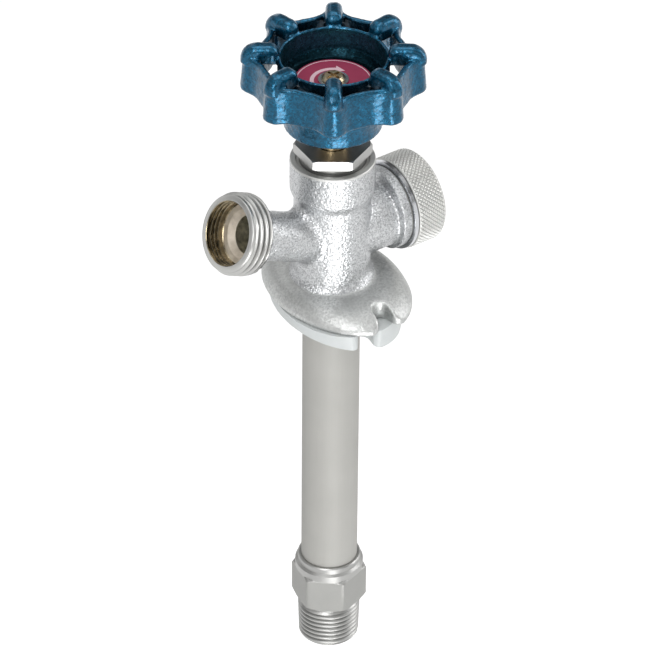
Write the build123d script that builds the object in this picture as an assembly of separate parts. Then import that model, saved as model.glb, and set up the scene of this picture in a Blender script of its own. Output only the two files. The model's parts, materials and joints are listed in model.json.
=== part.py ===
from build123d import *
import os
from math import acos, cos, degrees, radians, sin, sqrt

# Frost-free sillcock with a vacuum breaker. Millimetres.
# The origin lies on the tube's axis in the plane where the flange meets the wall wedge.
# +Z points out of the wall along the stem, -X to the hose outlet, +X to the vacuum breaker.

# Clearances
braze_gap = 0.05
thread_gap = 0.10
running_gap = 0.08
slide_gap = 0.30
loose_gap = 0.25
seat_gap = 0.10

# Cutters reach past a face by this much
over = 1.0

# Casing tube
tube_od = 19.05
tube_wall = 1.2
tube_reach = 118.0
tube_grip = 14.0
tube_r = tube_od / 2
tube_bore_r = tube_r - tube_wall

# Inlet fitting: hex, pipe thread outside, copper socket and valve seat inside
fitting_grip = 9.2
fitting_sleeve_r = 11.6
fitting_hex_flats = 22.2
fitting_hex_drop = 5.2
fitting_hex_height = 12.7
fitting_hex_angle = 47.6
pipe_thread_r = 10.67
pipe_thread_length = 16.3
pipe_relief_r = 9.7
pipe_relief_length = 1.6
copper_socket_r = 7.97
copper_socket_depth = 12.7
seat_bore_r = 4.6
seat_lip_width = 1.0
seat_lip_height = 1.6
seat_drop = 0.4
fitting_hex_chamfer = 1.4
fitting_neck_r = 10.7
fitting_neck_drop = 2.1
fitting_neck_bevel = 0.7
fitting_rim_chamfer = 0.6
pipe_chamfer = 1.1

# Cast body
collar_r = 13.9
collar_height = 11.5
collar_recess_r = 12.0
collar_recess_depth = 2.5
collar_taper = 3.0
barrel_r = 12.6
barrel_foot = 1.8
barrel_foot_rise = 2.6
body_height = 52.5
bonnet_bore_r = 9.0
bonnet_depth = 19.0
chamber_r = 8.3
bonnet_seat = 3.0
neck_fillet = 3.5

# Hose outlet
outlet_tilt = 24.0
outlet_drop = 32.1
outlet_reach = 45.2
outlet_neck_r = 8.1
outlet_bore_r = 6.35
hose_thread_r = 13.495
hose_thread_length = 8.4
hose_mouth_r = 10.4
hose_mouth_depth = 7.2
hose_sink_r = 8.2
hose_sink_depth = 1.8
outlet_chamfer = 0.8

# Boss for the vacuum breaker
boss_drop = 27.5
boss_neck_drop = 1.5
boss_neck_r = 11.3
boss_neck_length = 19.2
boss_ring_r = 14.0
boss_length = 22.4
boss_bore_r = 9.0
boss_bore_depth = 9.3
boss_passage_r = 5.5

# Wall flange with two open screw slots
flange_half_x = 21.5
flange_half_y = 30.2
flange_shift = 2.0
flange_edge = 2.0
flange_ledge = 0.1
flange_crown = 7.4
flange_crown_half_x = 15.0
flange_crown_half_y = 17.0
flange_mid = 5.2
flange_mid_half_x = 19.8
flange_mid_half_y = 26.0
slot_width = 5.8
slot_inset = 5.6
slot_corner_r = 2.6

# Wall wedge, loose on the tube
wedge_half_x = 20.5
wedge_half_y = 28.0
wedge_shift = 1.3
wedge_thickness = 5.8
wedge_slope = 8.0
wedge_notch = 5.6
wedge_notch_inset = 5.5
wedge_corner_r = 2.0
wedge_turn = -13.0

# Stem, packing and nut
stem_r = 4.85
stem_thread_r = 5.6
stem_thread_length = 19.5
stem_thread_inset = 5.0
stem_shoulder_r = 5.5
stem_shoulder_gap = 4.6
stem_square = 6.4
stem_top_gap = 1.2
bushing_height = 10.5
packing_washer_height = 1.0
packing_height = 3.5
nut_spigot_length = 4.0
nut_ring_r = 10.8
nut_ring_height = 4.2
nut_hex_flats = 22.2
nut_hex_height = 3.5
nut_hex_angle = 54.0
nut_chamfer = 0.7
corner_slope = 0.6

# Operating rod and its pin
rod_r = 3.2
rod_socket_depth = 13.0
pin_r = 1.25
pin_rise = 5.0
pin_inset = 0.4

# Valve at the warm end
seat_washer_r = 6.8
seat_washer_height = 3.2
holder_r = 7.2
holder_rim_height = 1.4
holder_height = 10.2
holder_fins = 4
holder_fin_width = 2.0
foot_r = 4.6
foot_height = 2.5
retainer_height = 1.2
washer_screw_r = 1.6
washer_screw_head_r = 3.0
washer_screw_head_height = 1.6
washer_screw_length = 2.5
washer_screw_slot = 0.8
holder_tap_depth = 5.4

# Handle wheel
lobes = 8
lobe_angle = 9.0
wheel_rise = 33.3
lobe_reach = 29.8
lobe_tip_r = 4.4
valley_r = 25.5
valley_blend = 9.0
band_draft = 1.1
band_wall = 3.0
band_height = 12.4
band_round = 0.8
spoke_width = 5.4
spoke_depth = 2.4
spoke_rise = 3.9
spoke_inner_r = 17.4
spoke_nose_r = 3.0
spoke_roll = 5.2
spoke_round = 2.1
spoke_hide = 0.2
cup_r = 17.9
cup_wall = 1.1
cup_base_r = 16.0
cup_height = 25.4
cup_depth = 10.3
cup_floor = 2.4
cup_lip = 0.4
cup_root = 2.5
cup_root_width = 1.5
cup_foot = 3.0
skirt_wall = 2.0
hub_r = 7.4
hub_recess = 1.6

# Index plate, screw and washer in the cup
plate_r = 12.6
plate_height = 0.8
screw_washer_r = 4.9
screw_washer_height = 0.7
screw_head_r = 3.8
screw_head_height = 1.4
screw_rim_height = 0.6
screw_crown_r = 2.9
screw_slot_length = 5.1
screw_slot_width = 1.0
screw_slot_depth = 0.8
screw_shank_r = 2.4
screw_length = 12.0

# Vacuum breaker
gasket_height = 0.3
gasket_r = 13.7
bonnet_ring_r = 15.2
bonnet_ring_height = 1.3
bonnet_neck_length = 7.6
bonnet_neck_r = 8.2
bonnet_passage_r = 5.2
vent_hole_r = 1.3
vent_rise = 0.4
vent_holes = 4
guide_hub_r = 3.4
guide_web = 1.6
guide_webs = 3
cap_r = 15.7
cap_length = 11.2
cap_gap = 0.25
cap_wall = 1.6
cap_nut_depth = 4.0
cap_edge = 0.6
cap_edge_width = 1.4
cap_chamfer = 0.5
cap_roof = 3.0
cap_nut_wall = 2.0
float_r = 7.6
float_height = 2.0
float_stem_r = 2.0
float_stem_length = 8.6
float_travel = 2.0
float_rest_gap = 0.1
seal_r = 7.0
seal_height = 1.0

# Places that several pieces share
slot_centre = flange_half_y - slot_inset
wedge_notch_centre = wedge_half_y - wedge_notch_inset
outlet_height = body_height - outlet_drop
boss_height = body_height - boss_drop
tube_bottom = -tube_reach
fitting_top = tube_bottom + fitting_grip
fitting_hex_top = fitting_top - fitting_hex_drop
fitting_hex_bottom = fitting_hex_top - fitting_hex_height
inlet_end = fitting_hex_bottom - pipe_thread_length
seat_top = tube_bottom - seat_drop
recess_floor = body_height - collar_recess_depth
bonnet_floor = recess_floor - bonnet_depth
bushing_top = bonnet_floor + bushing_height
packing_bottom = bushing_top + packing_washer_height
packing_top = packing_bottom + packing_height
nut_hex_bottom = recess_floor + nut_ring_height
nut_top = nut_hex_bottom + nut_hex_height
stem_thread_top = bushing_top - stem_thread_inset
stem_shoulder_bottom = nut_top + stem_shoulder_gap
stem_bottom = stem_thread_top - stem_thread_length
pin_height = stem_bottom + pin_rise
wheel_top = nut_top + wheel_rise
wheel_bottom = wheel_top - cup_height
plate_floor = wheel_top - cup_depth
hub_bottom = wheel_bottom + hub_recess
stem_top = plate_floor - stem_top_gap
shoulder_top = hub_bottom - braze_gap
washer_bottom = seat_top
washer_top = washer_bottom + seat_washer_height
holder_bottom = washer_top - holder_rim_height
holder_top = holder_bottom + holder_height
retainer_bottom = holder_top - retainer_height
foot_top = retainer_bottom - seat_gap
foot_bottom = foot_top - foot_height
ring_face = boss_length + gasket_height
bonnet_end = ring_face + bonnet_ring_height + bonnet_neck_length
cap_start = ring_face + bonnet_ring_height + cap_gap
float_start = boss_length - boss_bore_depth + float_rest_gap
seal_start = float_start + float_height
bonnet_inner = seal_start + seal_height + float_travel + float_rest_gap


def turned(points):
    """A solid of revolution about Z from its half profile, given as (radius, height)."""
    return revolve(make_face(Plane.XZ * Polyline(*points, close=True)), Axis.Z)


def post(radius, bottom, top):
    """A round bar on the axis between two heights."""
    return Pos(0, 0, bottom) * Cylinder(radius, top - bottom, align=(Align.CENTER, Align.CENTER, Align.MIN))


def sleeve(outer, inner, bottom, top):
    """A round tube on the axis between two heights."""
    return post(outer, bottom, top) - post(inner, bottom - over, top + over)


def hexagon(flats, bottom, top, angle, chamfer):
    """A hex bar whose first flat faces the angle, with its corners turned off at both ends."""
    corner = flats / sqrt(3)
    bar = Pos(0, 0, bottom) * Rot(0, 0, angle + 30) * extrude(RegularPolygon(corner, 6), top - bottom)
    drop = chamfer * corner_slope
    limit = turned([
        (0, bottom), (corner - chamfer, bottom), (corner, bottom + drop),
        (corner, top - drop), (corner - chamfer, top), (0, top),
    ])
    return bar & limit


outlet_plane = Plane(
    origin=(0, 0, outlet_height),
    x_dir=(0, 1, 0),
    z_dir=(-cos(radians(outlet_tilt)), 0, sin(radians(outlet_tilt))),
)
boss_plane = Plane(origin=(0, 0, boss_height), x_dir=(0, 1, 0), z_dir=(1, 0, 0))


def oval(half_x, half_y, height):
    return Pos(0, 0, height) * Ellipse(half_x, half_y)


def slotted_oval(half_x, half_y, width, centre, corner):
    """Oval outline with an open slot at each end of its Y axis."""
    face = oval(half_x, half_y, 0)
    reach = half_y - centre + over
    for turn in (0, 180):
        end = Rot(0, 0, turn)
        face -= end * Pos(0, -centre) * Circle(width / 2)
        face -= end * Pos(0, -centre - reach / 2) * Rectangle(width, reach)
    tips = [v for v in face.vertices() if abs(v.Y) > centre + over]
    return fillet(tips, corner)


def flange():
    """Domed oval flange with an open screw slot at each end."""
    dome = loft([
        oval(flange_half_x - flange_ledge, flange_half_y - flange_ledge, flange_edge),
        oval(flange_mid_half_x, flange_mid_half_y, flange_mid),
        oval(flange_crown_half_x, flange_crown_half_y, flange_crown),
    ])
    outline = slotted_oval(flange_half_x, flange_half_y, slot_width, slot_centre, slot_corner_r)
    rim = extrude(outline, flange_edge)
    return Pos(flange_shift, 0, 0) * (rim + (dome & extrude(outline, 2 * flange_crown)))


def cast_body():
    """Collar, barrel, hose outlet, breaker boss and flange in one casting, with its water ways."""
    collar_bottom = body_height - collar_height
    barrel = turned([
        (0, 0), (barrel_r + barrel_foot, 0), (barrel_r + barrel_foot, flange_crown),
        (barrel_r, flange_crown + barrel_foot_rise), (barrel_r, collar_bottom - collar_taper),
        (collar_r, collar_bottom), (collar_r, body_height), (0, body_height),
    ])
    outlet_neck = outlet_plane * post(outlet_neck_r, 0, outlet_reach - hose_thread_length / 2)
    with_outlet = barrel + outlet_neck
    with_outlet = fillet(new_edges(barrel, outlet_neck, combined=with_outlet), neck_fillet)
    boss_neck = Pos(0, 0, -boss_neck_drop) * (boss_plane * post(boss_neck_r, 0, boss_neck_length + over))
    solid = with_outlet + boss_neck
    head = outlet_plane * post(hose_thread_r, outlet_reach - hose_thread_length, outlet_reach)
    head = chamfer(head.edges().filter_by(GeomType.CIRCLE), outlet_chamfer)
    solid += head
    solid += boss_plane * post(boss_ring_r, boss_neck_length, boss_length)
    solid += flange()

    # Water ways: tube socket, chamber, bonnet bore, collar recess, outlet and boss
    solid -= post(tube_r + braze_gap, -over, tube_grip)
    solid -= post(chamber_r, 0, bonnet_floor - bonnet_seat)
    solid -= post(stem_thread_r + loose_gap, 0, bonnet_floor + over)
    solid -= post(bonnet_bore_r, bonnet_floor, body_height + over)
    solid -= post(collar_recess_r, recess_floor, body_height + over)
    solid -= outlet_plane * post(outlet_bore_r, 0, outlet_reach + over)
    solid -= outlet_plane * post(hose_mouth_r, outlet_reach - hose_mouth_depth, outlet_reach + over)
    sink_top = outlet_reach - hose_mouth_depth
    sink_bottom = sink_top - hose_sink_depth
    solid -= outlet_plane * turned([
        (0, sink_bottom), (outlet_bore_r, sink_bottom), (hose_sink_r, sink_top), (0, sink_top),
    ])
    solid -= boss_plane * post(boss_passage_r, 0, boss_length)
    solid -= boss_plane * post(boss_bore_r, boss_length - boss_bore_depth, boss_length + over)
    return solid


def wall_wedge():
    """Loose plastic wedge that lets the tube slope towards the wall."""
    outline = slotted_oval(wedge_half_x, wedge_half_y, wedge_notch, wedge_notch_centre, wedge_corner_r)
    blank = Pos(wedge_shift, 0, -seat_gap) * extrude(outline, -3 * wedge_thickness)
    side = 4 * wedge_half_y
    below = Box(side, side, side, align=(Align.CENTER, Align.CENTER, Align.MAX))
    blank -= Pos(0, 0, -seat_gap - wedge_thickness) * Rot(0, wedge_slope, 0) * below
    blank -= post(tube_r + loose_gap, -3 * wedge_thickness, over)
    return Rot(0, 0, wedge_turn) * blank


def casing_tube():
    return sleeve(tube_r, tube_bore_r, tube_bottom, tube_grip)


def inlet_fitting():
    """Sleeve for the tube, hex, pipe thread, and the valve seat and copper socket inside."""
    neck_bottom = fitting_top - fitting_neck_drop
    outside = turned([
        (0, inlet_end), (pipe_thread_r - pipe_chamfer, inlet_end), (pipe_thread_r, inlet_end + pipe_chamfer),
        (pipe_thread_r, fitting_hex_bottom - pipe_relief_length),
        (pipe_relief_r, fitting_hex_bottom - pipe_relief_length), (pipe_relief_r, fitting_hex_top),
        (fitting_sleeve_r, fitting_hex_top), (fitting_sleeve_r, neck_bottom - fitting_neck_bevel),
        (fitting_neck_r, neck_bottom), (fitting_neck_r, fitting_top - fitting_rim_chamfer),
        (fitting_neck_r - fitting_rim_chamfer, fitting_top), (0, fitting_top),
    ])
    solid = outside + hexagon(
        fitting_hex_flats, fitting_hex_bottom, fitting_hex_top, fitting_hex_angle, fitting_hex_chamfer)
    solid -= post(tube_r + braze_gap, tube_bottom, fitting_top + over)
    lip_r = seat_bore_r + seat_lip_width
    solid -= post(tube_bore_r, seat_top, fitting_top)
    groove = sleeve(tube_bore_r, lip_r, seat_top - seat_lip_height, seat_top)
    solid -= groove
    solid -= post(seat_bore_r, inlet_end, seat_top + over)
    solid -= post(copper_socket_r, inlet_end - over, inlet_end + copper_socket_depth)
    return solid


def packing_nut():
    solid = hexagon(nut_hex_flats, nut_hex_bottom, nut_top, nut_hex_angle, nut_chamfer)
    solid += post(nut_ring_r, recess_floor, nut_hex_bottom)
    solid += post(bonnet_bore_r - thread_gap, recess_floor - nut_spigot_length, recess_floor)
    return solid - post(stem_r + loose_gap, 0, nut_top + over)


def packing_ring():
    return sleeve(bonnet_bore_r - thread_gap, stem_r + running_gap, packing_bottom, packing_top)


def packing_washer():
    return sleeve(bonnet_bore_r - thread_gap, stem_r + loose_gap, bushing_top, packing_bottom)


def stem_bushing():
    return sleeve(bonnet_bore_r - thread_gap, stem_thread_r + running_gap, bonnet_floor, bushing_top)


def stem():
    """Brass stem: coarse thread below, plain through the packing, shoulder and square on top."""
    solid = post(stem_thread_r, stem_bottom, stem_thread_top) + post(stem_r, stem_bottom, shoulder_top)
    solid += post(stem_shoulder_r, stem_shoulder_bottom, shoulder_top)
    square = Rot(0, 0, lobe_angle) * Box(
        stem_square, stem_square, stem_top - stem_thread_top, align=(Align.CENTER, Align.CENTER, Align.MIN))
    solid += Pos(0, 0, stem_thread_top) * square
    solid -= post(rod_r + braze_gap, stem_bottom - over, stem_bottom + rod_socket_depth)
    solid -= post(screw_shank_r + braze_gap, stem_top - screw_length, stem_top + over)
    return solid - pin_bar(pin_r + braze_gap, 2 * stem_thread_r + over)


def pin_bar(radius, length):
    return Pos(0, 0, pin_height) * Rot(90, 0, 0) * Cylinder(radius, length)


def rod_pin():
    return pin_bar(pin_r, 2 * stem_thread_r - pin_inset)


def operating_rod():
    """Long rod with a flat foot that swivels in the washer holder."""
    solid = post(rod_r, foot_bottom, stem_bottom + rod_socket_depth) + post(foot_r, foot_bottom, foot_top)
    return solid - pin_bar(pin_r + braze_gap, 3 * rod_r)


def washer_holder():
    """Carrier of the seat washer, with fins that guide it in the tube."""
    solid = post(holder_r, holder_bottom, holder_top)
    fin_r = tube_bore_r - slide_gap
    fin = Box(
        2 * fin_r, holder_fin_width, holder_height - holder_rim_height,
        align=(Align.CENTER, Align.CENTER, Align.MIN))
    for turn in range(holder_fins // 2):
        solid += Pos(0, 0, washer_top) * Rot(0, 0, turn * 360 / holder_fins) * fin
    solid &= post(fin_r, holder_bottom, holder_top)
    solid -= post(seat_washer_r + braze_gap, holder_bottom - over, washer_top)
    solid -= post(foot_r + slide_gap, foot_bottom - seat_gap, holder_top + over)
    return solid - post(washer_screw_r + braze_gap, holder_bottom, washer_top + holder_tap_depth)


def retaining_ring():
    return sleeve(foot_r + slide_gap - braze_gap, rod_r + running_gap, retainer_bottom, holder_top)


def seat_washer():
    return sleeve(seat_washer_r, washer_screw_r + braze_gap, washer_bottom, washer_top)


def washer_screw():
    head = post(washer_screw_head_r, washer_bottom - washer_screw_head_height, washer_bottom)
    solid = head + post(washer_screw_r, washer_bottom, washer_top + washer_screw_length)
    slot = Box(3 * washer_screw_head_r, washer_screw_slot, 2 * washer_screw_slot)
    return solid - Pos(0, 0, washer_bottom - washer_screw_head_height) * slot


def polar(radius, angle):
    return Vector(radius * cos(radians(angle)), radius * sin(radians(angle)))


def lobed_face(inset):
    """Outline of the wheel's band, inset by a wall: round lobe tips, hollow blends and valley arcs."""
    tip_centre_r = lobe_reach - lobe_tip_r
    blend_centre_r = valley_r + valley_blend
    reach = lobe_tip_r + valley_blend
    spread = degrees(acos(
        (blend_centre_r ** 2 + tip_centre_r ** 2 - reach ** 2) / (2 * blend_centre_r * tip_centre_r)))
    tip_r = lobe_tip_r - inset
    blend_r = valley_blend + inset
    pitch = 360 / lobes
    line = Curve()
    for lobe in range(lobes):
        middle = lobe * pitch
        tip_centre = polar(tip_centre_r, middle)
        ends = []
        for side in (-1, 1):
            blend_centre = polar(blend_centre_r, middle + side * spread)
            to_tip = (tip_centre - blend_centre).normalized()
            to_axis = (blend_centre * -1).normalized()
            on_tip = blend_centre + to_tip * blend_r
            on_valley = blend_centre + to_axis * blend_r
            between = blend_centre + (to_tip + to_axis).normalized() * blend_r
            line += ThreePointArc(on_valley, between, on_tip)
            ends.append(on_tip)
        line += ThreePointArc(ends[0], polar(tip_centre_r + tip_r, middle), ends[1])
        line += ThreePointArc(
            polar(valley_r - inset, middle + spread), polar(valley_r - inset, middle + pitch / 2),
            polar(valley_r - inset, middle + pitch - spread))
    return make_face(line)


def spoke():
    """One knuckle that carries the band: it starts on the cup's rim and rolls over the lobe."""
    top = wheel_top + spoke_rise
    low = wheel_top - spoke_depth
    outer = lobe_reach - spoke_hide
    start = spoke_inner_r + spoke_nose_r
    turn_in = outer - spoke_roll
    shoulder = top - spoke_roll
    line = Polyline(
        (outer, shoulder), (outer, low), (spoke_inner_r, low), (spoke_inner_r, top - spoke_nose_r))
    line += RadiusArc((spoke_inner_r, top - spoke_nose_r), (start, top), spoke_nose_r)
    line += Line((start, top), (turn_in, top))
    line += RadiusArc((turn_in, top), (outer, shoulder), spoke_roll)
    bar = extrude(Plane.XZ * make_face(line), spoke_width / 2, both=True)
    sides = bar.edges().filter_by(lambda e: abs(e.center().Y) > over and e.center().Z > low + braze_gap)
    return fillet(sides, spoke_round)


def cup():
    """Deep cup with a floor for the index plate, a hub below it and a skirt over the nut."""
    inner = cup_r - cup_wall
    floor_bottom = plate_floor - cup_floor
    skirt_r = cup_base_r - skirt_wall
    return turned([
        (0, plate_floor), (inner - cup_root_width, plate_floor), (inner, plate_floor + cup_root),
        (inner, wheel_top - cup_lip), (inner + cup_lip, wheel_top),
        (cup_r - cup_lip, wheel_top), (cup_r, wheel_top - cup_lip), (cup_r, plate_floor + cup_root),
        (cup_base_r, wheel_bottom + cup_foot), (cup_base_r, wheel_bottom), (skirt_r, wheel_bottom),
        (skirt_r, floor_bottom - skirt_wall), (skirt_r - skirt_wall, floor_bottom), (hub_r, floor_bottom),
        (hub_r, hub_bottom), (0, hub_bottom),
    ])


def handle_wheel():
    """Cast wheel: a lobed band held by knuckles round the cup, with a square hole for the stem."""
    wheel = cup()
    bar = spoke()
    for turn in range(lobes):
        wheel += Rot(0, 0, turn * 360 / lobes) * bar
    outside = loft([lobed_face(0), Pos(0, 0, band_height) * lobed_face(band_draft)], ruled=True)
    band = outside - extrude(lobed_face(band_wall), band_height)
    band = fillet(band.edges().group_by(Axis.Z)[-1] + band.edges().group_by(Axis.Z)[0], band_round)
    wheel += Pos(0, 0, wheel_top - band_height) * band
    side = stem_square + 2 * braze_gap
    height = stem_top - hub_bottom + braze_gap + over
    hole = Box(side, side, height, align=(Align.CENTER, Align.CENTER, Align.MIN))
    wheel = Rot(0, 0, lobe_angle) * (wheel - Pos(0, 0, hub_bottom - over) * hole)
    return wheel - post(screw_shank_r + loose_gap, hub_bottom, plate_floor + over)


def index_plate():
    return sleeve(plate_r, screw_shank_r + loose_gap, plate_floor, plate_floor + plate_height)


def screw_washer():
    low = plate_floor + plate_height
    return sleeve(screw_washer_r, screw_shank_r + braze_gap, low, low + screw_washer_height)


def handle_screw():
    low = plate_floor + plate_height + screw_washer_height
    head = turned([
        (0, low), (screw_head_r, low), (screw_head_r, low + screw_rim_height),
        (screw_crown_r, low + screw_head_height), (0, low + screw_head_height),
    ])
    solid = head + post(screw_shank_r, stem_top - screw_length + over, low)
    for turn in range(2):
        slot = Box(screw_slot_length, screw_slot_width, 2 * screw_slot_depth)
        solid -= Pos(0, 0, low + screw_head_height) * Rot(0, 0, lobe_angle + 90 * turn) * slot
    return solid


def breaker_gasket():
    return boss_plane * sleeve(gasket_r, boss_bore_r + slide_gap, boss_length, ring_face)


def breaker_bonnet():
    """Polished ring with a neck for the cap, vent holes, and a spider that guides the float."""
    solid = post(bonnet_ring_r, ring_face, ring_face + bonnet_ring_height)
    solid += post(boss_bore_r - thread_gap, bonnet_inner, ring_face)
    solid += post(bonnet_neck_r, ring_face, bonnet_end)
    solid -= post(bonnet_passage_r, bonnet_inner - over, bonnet_end + over)
    guide = post(guide_hub_r, ring_face, ring_face + bonnet_ring_height)
    for turn in range(guide_webs):
        web = Box(
            bonnet_passage_r + over, guide_web, bonnet_ring_height,
            align=(Align.MIN, Align.CENTER, Align.MIN))
        guide += Rot(0, 0, turn * 360 / guide_webs) * Pos(0, 0, ring_face) * web
    solid += guide
    solid -= post(float_stem_r + running_gap, 0, bonnet_end)
    vent_height = cap_start + vent_hole_r + vent_rise
    for turn in range(vent_holes):
        vent = Pos(0, 0, vent_height) * Rot(0, 90, 0) * post(vent_hole_r, 0, 2 * bonnet_neck_r)
        solid -= Rot(0, 0, (turn + 0.5) * 360 / vent_holes) * vent
    return boss_plane * solid


def breaker_cap():
    """Knurled cap, screwed on the bonnet's neck, with an air gap at its open edge."""
    end = cap_start + cap_length
    solid = turned([
        (0, cap_start), (cap_r - cap_chamfer, cap_start), (cap_r, cap_start + cap_chamfer),
        (cap_r, end - cap_edge - cap_chamfer), (cap_r - cap_chamfer, end - cap_edge),
        (cap_r - cap_edge_width, end), (0, end),
    ])
    inner = cap_r - cap_wall
    thread_r = bonnet_neck_r + thread_gap
    room = post(inner, cap_start - over, end - cap_roof)
    solid -= room - post(thread_r + cap_nut_wall, bonnet_end - cap_nut_depth, end)
    solid -= post(thread_r, cap_start - over, bonnet_end + seat_gap)
    return boss_plane * solid


def breaker_float():
    solid = post(float_r, float_start, seal_start)
    return boss_plane * (solid + post(float_stem_r, float_start, seal_start + float_stem_length))


def float_seal():
    return boss_plane * sleeve(seal_r, float_stem_r + braze_gap, seal_start, seal_start + seal_height)


parts = {
    "body": cast_body,
    "wall_wedge": wall_wedge,
    "casing_tube": casing_tube,
    "inlet_fitting": inlet_fitting,
    "packing_nut": packing_nut,
    "packing_ring": packing_ring,
    "packing_washer": packing_washer,
    "stem_bushing": stem_bushing,
    "stem": stem,
    "rod_pin": rod_pin,
    "operating_rod": operating_rod,
    "washer_holder": washer_holder,
    "retaining_ring": retaining_ring,
    "seat_washer": seat_washer,
    "washer_screw": washer_screw,
    "handle_wheel": handle_wheel,
    "index_plate": index_plate,
    "screw_washer": screw_washer,
    "handle_screw": handle_screw,
    "breaker_gasket": breaker_gasket,
    "breaker_bonnet": breaker_bonnet,
    "breaker_cap": breaker_cap,
    "breaker_float": breaker_float,
    "float_seal": float_seal,
}

os.makedirs("parts", exist_ok=True)
for name, make in parts.items():
    export_step(make(), f"parts/{name}.step")
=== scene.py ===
import json
from math import ceil, cos, pi, radians, sin, sqrt, tau

import bmesh
import bpy
from mathutils import Matrix, Vector, noise


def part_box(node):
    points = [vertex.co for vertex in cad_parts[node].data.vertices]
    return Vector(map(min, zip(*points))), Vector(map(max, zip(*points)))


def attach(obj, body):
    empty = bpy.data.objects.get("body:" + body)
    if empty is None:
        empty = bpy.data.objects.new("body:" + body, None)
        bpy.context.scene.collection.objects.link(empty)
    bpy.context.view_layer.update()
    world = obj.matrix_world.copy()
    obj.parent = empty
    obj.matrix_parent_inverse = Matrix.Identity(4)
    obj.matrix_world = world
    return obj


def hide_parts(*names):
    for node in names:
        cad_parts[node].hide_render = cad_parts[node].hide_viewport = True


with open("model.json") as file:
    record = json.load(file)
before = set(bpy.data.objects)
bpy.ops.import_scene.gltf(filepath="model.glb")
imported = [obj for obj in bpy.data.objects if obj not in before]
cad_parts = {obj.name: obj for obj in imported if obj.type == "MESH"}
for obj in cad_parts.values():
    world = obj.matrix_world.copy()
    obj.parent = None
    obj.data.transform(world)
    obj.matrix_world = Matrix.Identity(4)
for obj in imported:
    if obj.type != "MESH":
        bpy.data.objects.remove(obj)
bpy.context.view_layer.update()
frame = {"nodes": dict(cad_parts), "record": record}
nodes = frame["nodes"]
record = frame["record"]
mm = 0.001

# Camera, as the photograph was taken
camera_azimuth = -36.0
camera_elevation = 35.5
camera_distance = 1.5
camera_lens = 254.5
camera_sensor = 36.0
camera_clip = 20
camera_roll = 0.45
aim_right = -2.8 * mm
aim_up = -10.8 * mm

# Castings: how finely they are drawn
body_voxel = 0.40 * mm
wheel_voxel = 0.35 * mm

# Parts of the body that are turned after casting
outlet_head_length = 8.4 * mm
outlet_neck_r = 8.1 * mm
outlet_bore_r = 6.35 * mm
outlet_sink_r = 8.2 * mm
outlet_sink_depth = 1.8 * mm
outlet_bore_shown = 22.0 * mm
mouth_edge = 0.2 * mm
shoulder_edge = 0.3 * mm
collar_r = 13.9 * mm
collar_recess_r = 12.0 * mm
collar_recess_depth = 0.7 * mm
collar_face_height = 0.7 * mm
boss_ring_r = 14.0 * mm
boss_ring_start = 19.2 * mm
boss_ring_end = 22.4 * mm
flange_top = 7.4 * mm
barrel_r = 12.6 * mm

# Handle
knuckle_rise = 3.9 * mm
cup_inner_r = 16.8 * mm
skirt_inner_r = 14.0 * mm

# Inlet fitting
sleeve_r = 11.6 * mm
sleeve_end = 2.8 * mm
neck_r = 10.7 * mm
neck_start = 2.1 * mm
hex_drop = 5.2 * mm
hex_length = 12.7 * mm
hex_flats = 22.2 * mm
hex_angle = radians(47.6)
thread_relief_r = 9.7 * mm
thread_relief_length = 1.6 * mm
waterway_r = 4.6 * mm

# Threads
hose_pitch = 2.209 * mm
hose_depth = 1.35 * mm
pipe_pitch = 1.814 * mm
pipe_depth = 1.0 * mm
pipe_taper = 1 / 32


def mount(name):
    """The record's mount of that name."""
    return next(m for m in record["mounts"] if m["name"] == name)


def top_of(node):
    """Height of a node's top."""
    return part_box(node)[1][2]


def bottom_of(node):
    """Height of a node's bottom."""
    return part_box(node)[0][2]


# Materials

materials = {}


def new_material(name):
    """An empty node material, kept under its name. Gives its tree and its shader."""
    material = bpy.data.materials.new(name)
    material.use_nodes = True
    materials[name] = material
    tree = material.node_tree
    return tree, tree.nodes["Principled BSDF"]


def feed(tree, source, target):
    """Gives a node's input another node's output, or a colour or number of its own."""
    if isinstance(source, bpy.types.NodeSocket):
        tree.links.new(source, target)
    elif isinstance(source, tuple):
        target.default_value = (*source, 1)
    else:
        target.default_value = source


def object_point(tree):
    """Places in the object's own space."""
    return tree.nodes.new("ShaderNodeTexCoord").outputs["Object"]


def noise_value(tree, point, scale, detail=2.0, rough=0.5):
    """Noise with features of about that many per metre."""
    node = tree.nodes.new("ShaderNodeTexNoise")
    feed(tree, scale, node.inputs["Scale"])
    feed(tree, detail, node.inputs["Detail"])
    feed(tree, rough, node.inputs["Roughness"])
    feed(tree, point, node.inputs["Vector"])
    return node.outputs["Fac"]


def spread(tree, value, low, high, start=0.0, end=1.0):
    """The value's stretch from start to end, mapped to low to high."""
    node = tree.nodes.new("ShaderNodeMapRange")
    feed(tree, start, node.inputs["From Min"])
    feed(tree, end, node.inputs["From Max"])
    feed(tree, low, node.inputs["To Min"])
    feed(tree, high, node.inputs["To Max"])
    feed(tree, value, node.inputs["Value"])
    return node.outputs["Result"]


def two_colours(tree, value, first, second):
    """A ramp between two colours."""
    node = tree.nodes.new("ShaderNodeMix")
    node.data_type = "RGBA"
    feed(tree, first, node.inputs["A"])
    feed(tree, second, node.inputs["B"])
    feed(tree, value, node.inputs["Factor"])
    return node.outputs["Result"]


def math_value(tree, operation, first, second):
    """The result of one operation on two values."""
    node = tree.nodes.new("ShaderNodeMath")
    node.operation = operation
    feed(tree, first, node.inputs[0])
    feed(tree, second, node.inputs[1])
    return node.outputs["Value"]


def bump(tree, height, distance, strength=1.0, base=None):
    """A bump of that height in metres, over another one where given."""
    node = tree.nodes.new("ShaderNodeBump")
    feed(tree, strength, node.inputs["Strength"])
    feed(tree, distance, node.inputs["Distance"])
    feed(tree, height, node.inputs["Height"])
    if base is not None:
        feed(tree, base, node.inputs["Normal"])
    return node.outputs["Normal"]


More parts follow.
